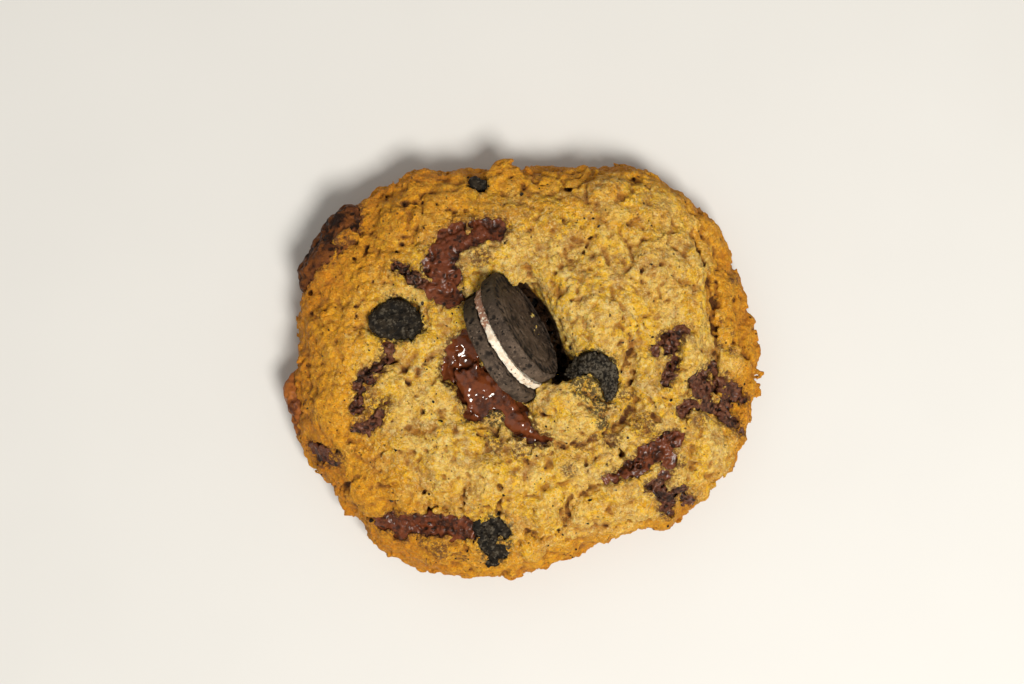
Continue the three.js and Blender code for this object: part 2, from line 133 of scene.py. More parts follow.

# Small holes carved in the crust and painted near black as shade: centre on the plan and radius.
HOLES = [
    (13.1, -19.9, 0.6), (13.5, -21.2, 0.4), (17.6, -20.0, 0.5), (-21.1, -25.8, 0.6), (-5.0, -24.5, 0.5),
    (-29.6, 36.9, 0.6), (-25.6, 35.6, 0.7), (-21.6, 35.8, 0.5), (-26.0, 26.8, 0.6), (-33.7, 25.8, 0.6),
    (-36.4, 23.9, 0.4), (-27.1, 25.1, 0.4), (-35.7, 13.6, 0.5), (-40.2, 13.4, 0.4), (-35.7, 11.7, 0.4),
    (-34.8, 8.0, 0.4), (-45.9, 17.0, 0.5), (-32.0, 18.8, 0.4), (-18.6, 35.5, 0.4), (-9.2, 37.8, 0.4),
    (-4.0, 27.2, 0.4), (9.9, 38.6, 0.6), (23.8, 41.1, 0.7), (24.7, 20.8, 0.4), (44.0, 22.5, 0.5),
    (45.8, 15.8, 0.5), (41.6, 15.2, 0.6), (9.9, 14.7, 0.5), (-39.7, -17.5, 0.8), (-43.9, -17.2, 0.7),
    (7.4, -34.2, 0.4), (-24.4, -2.8, 0.5), (-27.7, -10.5, 0.4), (-21.1, -8.5, 0.5), (27.5, 3.9, 0.4),
]

# Where pieces show in the top: circles on the plan, each a centre and a radius.
SEEN = {
    "chocolate_pool": [
        (-12.8, 4.3, 3.2), (-13.2, 0.3, 3.8), (-9.7, -3.7, 4.4), (-5.9, -4.5, 3.4), (-10.1, -8.1, 2.3),
        (-5.0, -7.0, 2.7), (-1.9, -9.4, 2.5), (-0.2, -12.1, 2.1), (1.9, -14.0, 1.3), (4.4, -14.6, 0.8)],
    "chocolate_crescent": [
        (-5.5, 30.0, 1.7), (-7.8, 30.4, 1.5), (-10.4, 29.3, 2.1), (-13.1, 28.5, 2.5), (-15.6, 26.8, 2.5),
        (-17.3, 24.0, 2.8), (-18.4, 21.7, 2.3), (-16.4, 19.7, 2.7), (-17.5, 17.0, 2.1), (-15.2, 15.7, 1.7)],
    "chocolate_spur": [
        (-27.1, 22.1, 0.9), (-25.4, 21.1, 1.1), (-23.5, 19.8, 1.3), (-21.5, 18.7, 1.1), (-19.8, 17.4, 0.9)],
    "chocolate_left": [
        (-28.7, 5.0, 1.0), (-29.6, 2.2, 0.8), (-30.8, 0.5, 1.3), (-33.0, -1.6, 1.7), (-34.5, -3.7, 1.3),
        (-34.9, -6.1, 0.8), (-35.2, -8.2, 1.0), (-35.4, -12.0, 0.8), (-33.5, -11.6, 1.5),
        (-31.5, -10.7, 1.3), (-30.2, -8.6, 1.1), (-29.1, -6.9, 0.7)],
    "chocolate_lower_left": [
        (-30.1, -33.2, 0.9), (-28.1, -32.6, 1.5), (-25.7, -33.0, 1.8), (-23.0, -33.1, 1.8),
        (-20.4, -33.3, 1.7), (-17.9, -33.4, 1.6), (-15.3, -33.4, 1.7), (-12.7, -33.6, 1.6),
        (-10.8, -34.2, 1.1), (-26.2, -34.9, 1.3)],
    "chocolate_inner_right": [
        (30.1, 6.4, 1.8), (32.4, 7.3, 1.6), (33.9, 8.1, 0.7), (27.7, 4.1, 0.7), (31.1, 4.3, 1.3),
        (31.8, 2.2, 1.0), (31.3, 0.5, 1.0), (30.9, -1.2, 1.0), (30.3, -2.7, 0.8)],
    "chocolate_right": [
        (40.0, 0.7, 0.9), (38.7, -1.2, 1.5), (37.6, -2.9, 1.8), (39.4, -3.6, 1.2), (37.4, -5.2, 1.8),
        (39.4, -7.0, 1.7), (35.2, -7.1, 1.2), (33.7, -8.6, 1.4), (40.1, -8.5, 1.1), (36.6, -6.9, 1.3)],
    "chocolate_ledge": [
        (42.7, -2.7, 1.4), (44.8, -3.8, 1.4), (46.0, -5.6, 1.7), (47.9, -6.5, 1.3), (44.1, -7.0, 1.5),
        (43.5, -10.5, 1.4), (45.4, -11.6, 1.5), (47.0, -13.5, 0.9)],
    "chocolate_streak": [
        (22.9, -20.7, 1.3), (24.6, -19.6, 1.6), (26.3, -18.3, 1.8), (28.2, -16.9, 1.8), (29.9, -15.6, 1.7),
        (31.6, -14.6, 1.3), (21.2, -21.9, 0.8), (19.5, -22.6, 0.6), (17.8, -23.0, 0.5), (30.8, -18.0, 1.0),
        (30.6, -20.1, 0.7), (30.5, -22.1, 0.7)],
    "chocolate_bottom_right": [
        (27.0, -24.6, 1.1), (28.4, -25.1, 1.5), (29.5, -26.6, 1.3), (30.9, -28.0, 1.6), (32.6, -26.3, 1.1),
        (33.9, -25.7, 0.9), (30.3, -29.5, 1.1), (31.0, -30.9, 1.0), (35.8, -28.2, 0.9), (34.2, -27.2, 0.6)],
    "biscuit_chunk_bottom": [
        (-8.3, -33.7, 1.6), (-6.0, -33.6, 1.9), (-4.1, -34.4, 1.5), (-7.4, -37.1, 2.0), (-5.7, -38.6, 1.7),
        (-6.5, -41.1, 0.8)],
}

# Places where crumbly dough lies over the chocolate, and where chocolate has stained the dough.
ISLANDS = [
    (-6.1, -10.2, 1.7), (-32.4, -6.6, 2.0), (-11.6, 29.5, 0.6), (45.0, -0.6, 1.5), (41.5, -3.2, 1.1),
    (41.2, -6.0, 1.1), (28.0, -20.9, 1.3),
]
STAINS = [
    (-9.3, 24.0, 3.0), (-0.8, -17.2, 2.5), (-6.1, -15.0, 3.0), (25.6, -11.5, 3.4), (18.6, -14.7, 2.5),
    (33.2, -19.5, 2.1), (-18.0, -38.5, 2.8), (-13.3, -40.0, 1.7), (-25.5, 35.3, 1.3), (-32.1, -7.3, 3.0),
    (37.5, -10.6, 2.1), (21.9, -5.2, 2.5), (9.7, -21.0, 2.1), (45.8, 19.4, 1.7), (11.6, -15.8, 1.7),
    (15.0, -14.2, 1.3), (18.0, -12.6, 1.4), (21.0, -10.4, 1.3), (22.4, -8.6, 1.4), (-21.5, -37.0, 1.8),
    (42.4, 10.3, 0.9), (42.1, 5.4, 1.1), (44.8, 3.9, 1.3), (45.3, 7.5, 0.9), (43.6, -1.0, 1.5),
]
DUSTED = [(12.9, -3.0, 3.4), (15.6, -7.0, 2.6), (16.6, -11.0, 1.6), (-6.1, -10.2, 2.0)]

# The gap beside the mini biscuit, painted near black as shade: a path on the plan, its half-width, and
# circles at its end.
GAP = [(-0.6, 17.6), (3.4, 13.0), (5.3, 9.6), (6.4, 6.4), (7.6, 2.8), (9.6, 0.2)]
GAP_HALF = 1.3
GAP_END = [(8.8, -0.4, 2.1), (7.2, -1.9, 1.2), (10.8, 0.4, 1.5)]

# How each chocolate piece lies: how much further it shows than its circles, how far it
# stands above the crust, how rough it is, and its finish. Edge pieces show whole, so have no spread.
Look = namedtuple("Look", "spread proud rough finish")
CHOCOLATE = {
    "chocolate_pool": Look(0.6, -0.8, 0.1, "glossy"),
    "chocolate_crescent": Look(0.6, -0.4, 0.22, "satin"),
    "chocolate_spur": Look(0.2, -0.4, 0.45, "dry"),
    "chocolate_left": Look(0.2, -0.4, 0.5, "dry"),
    "chocolate_lower_left": Look(0.6, -0.4, 0.22, "satin"),
    "chocolate_inner_right": Look(0.2, -0.4, 0.5, "dry"),
    "chocolate_right": Look(0.0, -0.3, 0.5, "dry"),
    "chocolate_ledge": Look(0.0, -0.3, 0.55, "dry"),
    "chocolate_streak": Look(0.6, -0.4, 0.3, "satin"),
    "chocolate_bottom_right": Look(0.2, -0.3, 0.55, "dry"),
    "chocolate_edge_upper_left": Look(0.0, 9.0, 0.55, "crusted"),
    "chocolate_edge_left": Look(0.0, 9.0, 0.2, "caramel"),
    "chocolate_edge_lower_left": Look(0.0, 0.4, 0.5, "dry"),
}
BROKEN_SPREAD = 0.3         # the same spread, for broken biscuit
BISCUIT = ["biscuit_chunk_left", "biscuit_chunk_right", "biscuit_chunk_bottom", "biscuit_chip_top"]
MINI = ["mini_wafer_left", "mini_cream", "mini_wafer_right"]

# ---------------------------------------------------------------- noise


def hashed(cells, seed):
    """A repeatable random number from 0 to 1 for each integer cell."""
    c = cells.astype(np.int64).astype(np.uint32)
    h = c[..., 0] * np.uint32(0x8DA6B343)
    h ^= c[..., 1] * np.uint32(0xD8163841)
    h ^= c[..., 2] * np.uint32(0xCB1AB31F)
    h ^= np.uint32(seed * 2654435761 % 2**32)
    for shift, factor in ((15, 0x2C1B3C6D), (12, 0x297A2D39)):
        h ^= h >> np.uint32(shift)
        h *= np.uint32(factor)
    h ^= h >> np.uint32(15)
    return h.astype(np.float32) / np.float32(2**32)


def even_directions(count):
    """Directions spread evenly over a sphere, along a spiral."""
    k = np.arange(count) + 0.5
    z = 1 - 2 * k / count
    turn = k * math.pi * (3 - math.sqrt(5))
    flat = np.sqrt(1 - z * z)
    return np.stack([flat * np.cos(turn), flat * np.sin(turn), z], 1).astype(np.float32)


GRADIENTS = even_directions(64)
CORNERS = list(itertools.product((0, 1), repeat=3))


def waves(points, size, seed=0):
    """Smooth noise with lumps of about that size, mostly within -0.5 to 0.5."""
    place = points / np.float32(size)
    cell = np.floor(place)
    inside = (place - cell).astype(np.float32)
    blend = inside**3 * (inside * (inside * 6 - 15) + 10)
    total = np.zeros(len(points), np.float32)
    for corner in CORNERS:
        pick = (hashed(cell + corner, seed) * len(GRADIENTS)).astype(np.int32) % len(GRADIENTS)
        slope = np.einsum("ij,ij->i", GRADIENTS[pick], inside - np.float32(corner))
        weight = np.prod(np.where(corner, blend, 1 - blend), axis=1)
        total += weight * slope
    return total


def lumps(points, size, seed=0):
    """Rounded lumps with creases between them, 0 in a crease, averaging about 0.4."""
    return 2.2 * np.abs(waves(points, size, seed))


def cells(points, size, seed=0):
    """Distance to the nearest scattered point, how much further the next is, and its number."""
    place = points / np.float32(size)
    home = np.floor(place)
    nearest = np.full(len(points), 9.0, np.float32)
    second = np.full(len(points), 9.0, np.float32)
    number = np.zeros(len(points), np.float32)
    for step in itertools.product((-1, 0, 1), repeat=3):
        cell = home + step
        centre = np.stack([hashed(cell, seed + k) for k in (1, 2, 3)], 1) + cell
        distance = np.linalg.norm(place - centre, axis=1).astype(np.float32)
        closer = distance < nearest
        second = np.where(closer, nearest, np.minimum(second, distance))
        number = np.where(closer, hashed(cell, seed), number)
        nearest = np.where(closer, distance, nearest)
    return nearest, second - nearest, number


def crumbs(points, size, seed=0):
    """Rounded crumbs of uneven height lying side by side, 0 to 1, averaging about 0.45."""
    nearest, _, number = cells(points, size, seed)
    return (0.4 + 0.6 * number) * np.clip(1.15 - (nearest / 0.8) ** 2, 0, 1)


def smooth(value, low, high):
    """0 up to low and 1 from high on, with an even bend between them."""
    t = np.clip((value - low) / (high - low), 0, 1)
    return t * t * (3 - 2 * t)


# ---------------------------------------------------------------- fields on a voxel grid


class Grid:
    """A box of voxels for signed distances in millimetres, negative inside a solid."""

    def __init__(self, low, high, voxel):
        self.voxel = voxel
        self.start = np.floor(np.array(low) / voxel).astype(int)
        self.shape = tuple(int(n) for n in np.ceil(np.array(high) / voxel).astype(int) - self.start + 1)
        self.transform = vdb.createLinearTransform(voxelSize=voxel)

    def distance(self, names, reach):
        """Distance from the surface of the named nodes, kept within reach of it."""
        points, triangles = nodes_mesh(names)
        solid = vdb.FloatGrid.createLevelSetFromPolygons(
            points, triangles=triangles, transform=self.transform, halfWidth=reach / self.voxel)
        out = np.zeros(self.shape, np.float32)
        solid.copyToArray(out, ijk=tuple(int(n) for n in self.start))
        return out

    def points(self, index):
        """Where the voxels with these flat indices are."""
        place = np.stack(np.unravel_index(index, self.shape), 1) + self.start
        return place.astype(np.float32) * np.float32(self.voxel)

    def axis(self, which):
        """Where the voxels lie along one axis."""
        return (self.start[which] + np.arange(self.shape[which])).astype(np.float32) * self.voxel

    def sample(self, field, points):
        """The field's value at any points, blended between voxels."""
        place = points / self.voxel - self.start
        last = np.array(self.shape) - 2
        cell = np.clip(np.floor(place).astype(int), 0, last)
        part = np.clip(place - cell, 0, 1)
        total = np.zeros(len(points), np.float32)
        for corner in CORNERS:
            weight = np.prod(np.where(corner, part, 1 - part), axis=1)
            i, j, k = (cell + corner).T
            total += weight.astype(np.float32) * field[i, j, k]
        return total

    def surface(self, field, adaptivity=0.0):
        """The zero surface as points and polygons that face outwards."""
        rim = 3 * self.voxel
        solid = vdb.FloatGrid(rim)
        solid.transform = self.transform
        solid.copyFromArray(np.clip(field, -rim, rim), ijk=tuple(int(n) for n in self.start))
        points, triangles, quads = solid.convertToPolygons(isovalue=0.0, adaptivity=adaptivity)
        faces = [f[::-1] for f in triangles.tolist()] + [f[::-1] for f in quads.tolist()]
        return points, faces


def nodes_mesh(names):
    """The points, in millimetres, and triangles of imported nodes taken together."""
    all_points, all_triangles, count = [], [], 0
    for name in names:
        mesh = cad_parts[name].data
        mesh.calc_loop_triangles()
        points = np.empty(len(mesh.vertices) * 3, np.float32)
        mesh.vertices.foreach_get("co", points)
        triangles = np.empty(len(mesh.loop_triangles) * 3, np.int32)
        mesh.loop_triangles.foreach_get("vertices", triangles)
        all_points.append(points.reshape(-1, 3) / np.float32(MM))
        all_triangles.append(triangles.reshape(-1, 3) + count)
        count += len(mesh.vertices)
    return np.concatenate(all_points), np.concatenate(all_triangles).astype(np.uint32)


def blurred(field, passes):
    """The field averaged with its neighbours, several times over."""
    for _ in range(passes):
        for axis in range(field.ndim):
            wide = np.pad(field, [(1, 1) if a == axis else (0, 0) for a in range(field.ndim)], "edge")
            middle = [slice(None)] * field.ndim
            before, after = list(middle), list(middle)
            before[axis], after[axis] = slice(0, -2), slice(2, None)
            field = 0.5 * field + 0.25 * (wide[tuple(before)] + wide[tuple(after)])
    return field


def path_distance(points, path):
    """Distance on the plan from points to a broken line."""
    best = np.full(len(points), 1e9, np.float32)
    for a, b in zip(path, path[1:]):
        a, b = np.array(a, np.float32), np.array(b, np.float32)
        along = np.clip((points[:, :2] - a) @ (b - a) / ((b - a) @ (b - a)), 0, 1)
        gap = points[:, :2] - a - along[:, None] * (b - a)
        best = np.minimum(best, np.hypot(gap[:, 0], gap[:, 1]))
    return best


# ---------------------------------------------------------------- pieces


def placed(name, data):
    """A new object in the scene."""
    made = bpy.data.objects.new(name, data)
    bpy.context.scene.collection.objects.link(made)
    return made


def make_piece(name, points, faces, material, nodes, shade_smooth=True, attributes=None):
    """A mesh object from millimetre points that rides on the cookie and replaces nodes."""
    mesh = bpy.data.meshes.new(name)
    points = np.clip(points, np.array(cad_low) / MM + LIMIT, np.array(cad_high) / MM - LIMIT)
    mesh.from_pydata((points * MM).tolist(), [], faces)
    mesh.validate()
    mesh.shade_smooth() if shade_smooth else mesh.shade_flat()
    for key, values in (attributes or {}).items():
        layer = mesh.attributes.new(key, "FLOAT", "POINT")
        layer.data.foreach_set("value", values.astype(np.float32))
    mesh.materials.append(material)
    piece = placed(name, mesh)
    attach(piece, "root")
    if nodes:
        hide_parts(*nodes)


def normals_of(points, faces):
    """Smooth vertex normals of a mesh of triangles and quads."""
    out = np.zeros_like(points)
    for size in (3, 4):
        some = np.array([f for f in faces if len(f) == size])
        if len(some):
            across = np.cross(points[some[:, 2]] - points[some[:, 0]],
                              points[some[:, size - 1]] - points[some[:, 1]] if size == 4
                              else points[some[:, 2]] - points[some[:, 1]])
            for k in range(size):
                np.add.at(out, some[:, k], across)
    return out / np.maximum(np.linalg.norm(out, axis=1, keepdims=True), 1e-9)


# ---------------------------------------------------------------- node materials


class Finish:
    """A procedural material built around one Principled shader. Sizes are millimetres.

    It starts from one colour, and each coat covers that where some value is near another.
    """

    def __init__(self, name, colour):
        self.colour = colour
        self.material = bpy.data.materials.new(name)
        self.material.use_nodes = True
        self.tree = self.material.node_tree
        self.shader = next(n for n in self.tree.nodes if n.type == "BSDF_PRINCIPLED")
        self.place = self.tree.nodes.new("ShaderNodeTexCoord").outputs["Object"]

    def node(self, kind, **inputs):
        made = self.tree.nodes.new(kind)
        for key, value in inputs.items():
            self.feed(made.inputs[key.replace("_", " ")], value)
        return made

    def feed(self, socket, value):
        if isinstance(value, bpy.types.NodeSocket):
            self.tree.links.new(value, socket)
        else:
            socket.default_value = value

    def noise(self, size, detail=2.0, roughness=0.5):
        return self.node("ShaderNodeTexNoise", Vector=self.place, Scale=1 / (size * MM), Detail=detail,
                         Roughness=roughness).outputs["Fac"]

    def spots(self, size, bend=0.0):
        """Scattered cells, bent out of shape by up to about that much."""
        place = self.place
        if bend:
            twist = self.node("ShaderNodeTexNoise", Vector=place, Scale=1 / (1.2 * size * MM), Detail=2.0)
            place = self.node("ShaderNodeVectorMath")
            place.operation = "MULTIPLY_ADD"
            self.feed(place.inputs[0], twist.outputs["Color"])
            place.inputs[1].default_value = [2 * bend * MM] * 3
            self.feed(place.inputs[2], self.place)
            place = place.outputs["Vector"]
        return self.node("ShaderNodeTexVoronoi", Vector=place, Scale=1 / (size * MM))

    def spread(self, value, low, high, most=1.0, least=0.0):
        """least where the value is low and most where it is high, with an even bend between."""
        made = self.node("ShaderNodeMapRange", Value=value)
        made.interpolation_type = "SMOOTHSTEP"
        for key, number in (("From Min", low), ("From Max", high), ("To Min", least), ("To Max", most)):
            made.inputs[key].default_value = number
        return made.outputs["Result"]

    def math(self, operation, a, b=0.0):
        made = self.tree.nodes.new("ShaderNodeMath")
        made.operation = operation
        self.feed(made.inputs[0], a)
        self.feed(made.inputs[1], b)
        return made.outputs[0]

    def times(self, a, b):
        return self.math("MULTIPLY", a, b)

    def plus(self, a, b):
        return self.math("ADD", a, b)

    def minus(self, a, b):
        return self.math("SUBTRACT", a, b)

    def dots(self, spots, wide, narrow, low, high):
        """A round mark in the middle of some of the spots, those with the highest numbers."""
        return self.times(self.spread(spots.outputs["Distance"], wide, narrow),
                          self.spread(spots.outputs["Color"], low, high))

    def cover(self, colour, share):
        self.colour = self.mix(share, self.colour, colour)

    def coat(self, colour, value, low, high, most=1.0):
        self.cover(colour, self.spread(value, low, high, most))

    def mix(self, share, a, b):
        made = self.tree.nodes.new("ShaderNodeMix")
        made.data_type = "RGBA"
        self.feed(made.inputs["Factor"], share)
        for socket, colour in ((made.inputs[6], a), (made.inputs[7], b)):
            self.feed(socket, colour if isinstance(colour, bpy.types.NodeSocket) else (*colour, 1.0))
        return made.outputs[2]

    def attribute(self, name):
        made = self.tree.nodes.new("ShaderNodeAttribute")
        made.attribute_name = name
        return made.outputs["Fac"]

    def bump(self, height, depth, strength=1.0, below=None):
        made = self.node("ShaderNodeBump", Height=height, Strength=strength, Distance=depth * MM)
        if below is not None:
            self.feed(made.inputs["Normal"], below)
        return made.outputs["Normal"]

    def finish(self, roughness, normal, **constants):
        self.feed(self.shader.inputs["Base Color"], self.colour)
        self.feed(self.shader.inputs["Roughness"], roughness)
        self.feed(self.shader.inputs["Normal"], normal)
        for key, value in constants.items():
            self.shader.inputs[key.replace("_", " ")].default_value = value
        return self.material


def dough_finish():
    """Baked dough: pale gold grains where it stands out, partly grain and partly painted highlight,
    tan and amber between them, browner at the rim, smeared with chocolate and dusted with dark
    biscuit near those pieces. Painted shade darkens its creases, the gaps between grains, its holes
    and the gap beside the mini biscuit."""
    cream, pale, yellow = (0.95, 0.8, 0.38), (0.9, 0.585, 0.12), (0.94, 0.555, 0.035)
    tan, amber, orange = (0.52, 0.3, 0.085), (0.84, 0.39, 0.018), (0.76, 0.28, 0.01)
    # brown is baked colour and also painted shade in shallow creases; the darkest colour is only painted
    # shade.
    brown, painted_shade_dark = (0.4, 0.15, 0.022), (0.075, 0.024, 0.008)
    m = Finish("baked_dough", pale)
    browning = m.attribute("browning")
    m.coat(yellow, m.noise(7.0, 5.0, 0.65), 0.45, 0.55)
    m.coat(tan, m.noise(5.0, 6.0, 0.7), 0.49, 0.61, 0.8)
    toast = m.minus(m.plus(browning, m.times(m.noise(4.0, 5.0, 0.7), 1.5)), 0.4)
    m.coat(amber, toast, 0.45, 1.05)
    m.coat(orange, toast, 1.05, 1.6)
    m.coat(brown, toast, 1.6, 2.1, 0.8)

    # Grains and flecks, paler and browner than the rest.
    grains = m.spots(1.05, 1.1)
    kind = m.plus(m.times(grains.outputs["Color"], 0.6), m.times(m.noise(1.3, 5.0, 0.75), 1.2))
    kind = m.minus(kind, m.times(browning, 0.28))
    m.coat(cream, kind, 0.94, 1.2, 0.45)
    m.coat(brown, kind, 0.86, 0.62, 0.45)
    # Pale flecks, also raised in the bump below: partly pale grain, partly a painted highlight on the raised
    # tops.
    fleck_and_highlight = m.minus(m.noise(0.62, 4.0, 0.8), m.times(browning, 0.04))
    m.coat(m.mix(m.spread(browning, 0.25, 0.9), cream, (1.0, 0.62, 0.08)), fleck_and_highlight, 0.5, 0.64, 0.62)
    m.coat(brown, m.noise(0.75, 4.0, 0.8), 0.46, 0.34, 0.6)
    # Orange between the grains, where the bump sinks: painted shade.
    m.coat(orange, grains.outputs["Distance"], 0.35, 0.75, 0.15)

    # Painted shade: brown and near-black where the surface lies in a hollow, and near-black in the small pits
    # that the bump sinks.
    crease_shade = m.plus(m.attribute("cavity"), m.times(m.noise(0.9, 4.0, 0.7), 0.9))
    m.coat(brown, crease_shade, 0.42, -0.35, 0.8)
    m.coat(painted_shade_dark, crease_shade, -0.15, -1.05, 0.88)
    holes = m.spread(m.noise(0.7, 4.0, 0.65), 0.37, 0.29)
    m.cover(painted_shade_dark, m.times(holes, 0.75))

    # Stains of chocolate, painted shade in the gap beside the mini biscuit and in the holes, biscuit dust,
    # and black specks.
    smear = m.times(m.attribute("smear"), m.spread(m.noise(0.9, 5.0, 0.8), 0.36, 0.62))
    m.coat((0.125, 0.045, 0.02), smear, 0.05, 0.7, 0.88)
    # Near-black painted shade down in the gap beside the mini biscuit.
    m.coat((0.026, 0.01, 0.005), m.attribute("gap"), 0.1, 0.6, 0.97)
    dust = m.times(m.attribute("dust"), m.spread(m.noise(0.9, 4.0, 0.75), 0.4, 0.58))
    m.coat((0.045, 0.034, 0.02), dust, 0.05, 0.6, 0.85)
    # Near-black painted shade in the holes carved in the crust.
    pit_shade = m.plus(m.attribute("pit_shade"), m.times(m.noise(0.6, 3.0, 0.7), 1.6))
    m.coat((0.05, 0.02, 0.008), pit_shade, 1.3, 1.75, 0.8)
    m.cover((0.07, 0.028, 0.01), m.times(m.dots(m.spots(1.7, 0.5), 0.19, 0.1, 0.66, 0.68), 0.85))

    height = m.minus(m.times(m.noise(0.9, 4.0, 0.7), 1.1),
                     m.times(m.math("POWER", grains.outputs["Distance"], 2.0), 0.7))
    height = m.plus(m.minus(height, m.times(holes, 0.5)), m.times(fleck_and_highlight, 0.8))
    grain = m.bump(m.noise(0.34, 3.0, 0.6), 0.2, 0.9, below=m.bump(height, 0.8, 1.0))
    return m.finish(m.spread(m.noise(1.2, 3.0), 0.3, 0.7, 0.8, 0.45), grain, Subsurface_Weight=0.22,
                    Subsurface_Scale=0.0009, Subsurface_Radius=(1.0, 0.5, 0.15),
                    Specular_IOR_Level=0.2)


# Melted chocolate and its crust: base, dark and light colours, how much of the light one shows,
# roughness from and to, size and depth of its unevenness, how much it mirrors, and how wet it is.
# The dark colour serves for darker patches and also as painted shade in hollows.
CHOCOLATE_FINISHES = {
    "glossy": [(0.14, 0.034, 0.01), (0.05, 0.013, 0.005), (0.21, 0.06, 0.02), 0.25,
               (0.05, 0.11), (2.5, 0.36), 0.5, 0.0],
    "satin": [(0.12, 0.028, 0.009), (0.026, 0.008, 0.004), (0.2, 0.055, 0.018), 0.4,
              (0.2, 0.5), (0.9, 0.4), 0.14, 0.22],
    "dry": [(0.085, 0.025, 0.012), (0.02, 0.008, 0.005), (0.26, 0.105, 0.05), 0.45,
            (0.28, 0.6), (0.8, 0.55), 0.16, 0.15],
    "crusted": [(0.08, 0.025, 0.008), (0.018, 0.008, 0.005), (0.3, 0.095, 0.016), 0.42,
                (0.45, 0.75), (0.9, 0.6), 0.1, 0.0],
    "caramel": [(0.27, 0.08, 0.014), (0.1, 0.026, 0.007), (0.38, 0.13, 0.022), 0.55,
                (0.35, 0.6), (1.2, 0.4), 0.15, 0.0],
}


def chocolate_finish(kind):
    """Chocolate that is wet and smooth, or set, dull and pitted, by its kind, with painted shade in
    its hollows and, where set, in its pits.
    """
    base, dark, light, share, gloss, (size, depth), mirror, wet = CHOCOLATE_FINISHES[kind]
    m = Finish("chocolate_" + kind, base)
    m.coat(dark, m.noise(3.2, 4.0, 0.65), 0.46, 0.6)
    patch = 3.4 if kind in ("crusted", "caramel") else 0.9
    haze = m.plus(m.times(m.attribute("edge"), 0.08), m.noise(patch, 5.0, 0.7))
    m.coat(light, haze, 0.5, 0.66, share)
    # Painted shade: darker where the surface lies in a hollow.
    m.coat(dark, m.attribute("cavity"), 0.05, -0.45, 0.85)
    # Pits sunk by the bump, painted near black as shade where the chocolate has set.
    pit_shade = m.dots(m.spots(1.5, 0.6), 0.4, 0.2, 0.5, 0.54)
    if kind not in ("glossy", "caramel"):
        m.cover((0.012, 0.006, 0.004), m.times(pit_shade, 0.9))
    ripple = m.noise(size, 1.0 if kind == "glossy" else 4.0, 0.5)
    if kind != "glossy":
        ripple = m.minus(ripple, m.times(pit_shade, 0.6))
    smoothest, roughest = gloss
    return m.finish(m.spread(m.noise(1.2, 3.0, 0.6), 0.38, 0.6, roughest, smoothest),
                    m.bump(ripple, depth, 0.9), Subsurface_Weight=0.05, Subsurface_Scale=0.0006,
                    Subsurface_Radius=(1.0, 0.4, 0.2), Coat_Weight=wet, Coat_Roughness=0.16,
                    Specular_IOR_Level=mirror)


def biscuit_finish(name, dusty):
    """Broken dark cocoa biscuit: almost black, porous, with paler grains, more of them if dusty, and
    painted shade in its hollows.
    """
    m = Finish(name, (0.01, 0.008, 0.006))
    m.coat((0.028, 0.02, 0.012), m.noise(1.6, 4.0, 0.65), 0.38, 0.66)
    share = m.plus(m.spots(0.45, 0.5).outputs["Color"], m.times(m.noise(1.6, 5.0, 0.7), 0.9))
    m.coat((0.14, 0.118, 0.085), share, 1.08 - 0.2 * dusty, 1.3 - 0.16 * dusty, 0.5)
    # Painted shade: darker where the surface lies in a hollow.
    m.coat((0.006, 0.005, 0.004), m.attribute("cavity"), 0.0, -0.5, 0.8)
    rough = m.bump(m.noise(0.28, 2.0), 0.12, 0.6, below=m.bump(m.noise(0.7, 4.0, 0.65), 0.35, 0.9))
    return m.finish(m.spread(m.noise(0.9, 2.0), 0.3, 0.7, 0.8, 0.5), rough, Specular_IOR_Level=0.1)


def wafer_finish():
    """The sandwich's cocoa wafers: dark grey-brown, matt, finely pitted, with painted shade towards
    one end, in hollows and in the pits.
    """
    m = Finish("cocoa_wafer", (0.12, 0.082, 0.056))
    m.coat((0.06, 0.04, 0.027), m.noise(4.5, 4.0, 0.65), 0.38, 0.6)
    m.coat((0.28, 0.2, 0.14), m.noise(0.6, 4.0, 0.7), 0.54, 0.72, 0.75)
    m.coat((0.018, 0.013, 0.009), m.noise(0.7, 4.0, 0.7), 0.44, 0.32, 0.75)
    # Painted shade: darker towards one end of the wafer.
    m.coat((0.042, 0.028, 0.01), m.attribute("shaded_end"), 0.0, 1.0, 0.65)
    # Painted shade: darker where the surface lies in a hollow.
    m.coat((0.01, 0.007, 0.005), m.attribute("cavity"), 0.0, -0.8, 0.9)
    # Pits sunk by the bump, painted near black as shade.
    pit_shade = m.dots(m.spots(0.8, 0.3), 0.34, 0.14, 0.54, 0.6)
    m.cover((0.01, 0.008, 0.006), m.times(pit_shade, 0.85))
    fine = m.bump(m.minus(m.noise(0.55, 4.0, 0.7), pit_shade), 0.42, 1.0)
    return m.finish(m.spread(m.noise(1.2, 2.0), 0.3, 0.7, 0.82, 0.62), fine, Specular_IOR_Level=0.2)


def cream_finish():
    """The sandwich's filling: off-white, toasted and crumb-flecked towards its upper end."""
    m = Finish("cream_filling", (0.84, 0.75, 0.61))
    m.coat((0.72, 0.57, 0.42), m.noise(1.6, 3.0), 0.4, 0.65)
    dirty = m.times(m.attribute("dirt"), m.spread(m.noise(0.7, 4.0, 0.7), 0.36, 0.56))
    m.coat((0.28, 0.105, 0.05), dirty, 0.1, 0.7, 0.9)
    m.cover((0.12, 0.05, 0.03), m.times(m.dots(m.spots(0.7, 0.3), 0.3, 0.16, 0.6, 0.64), 0.85))
    return m.finish(m.spread(m.noise(1.0, 2.0), 0.3, 0.7, 0.62, 0.45),
                    m.bump(m.noise(0.8, 3.0, 0.6), 0.2, 0.6), Subsurface_Weight=0.2,
                    Subsurface_Scale=0.0012, Subsurface_Radius=(1.0, 0.7, 0.5),
                    Specular_IOR_Level=0.4)


# ---------------------------------------------------------------- the dough


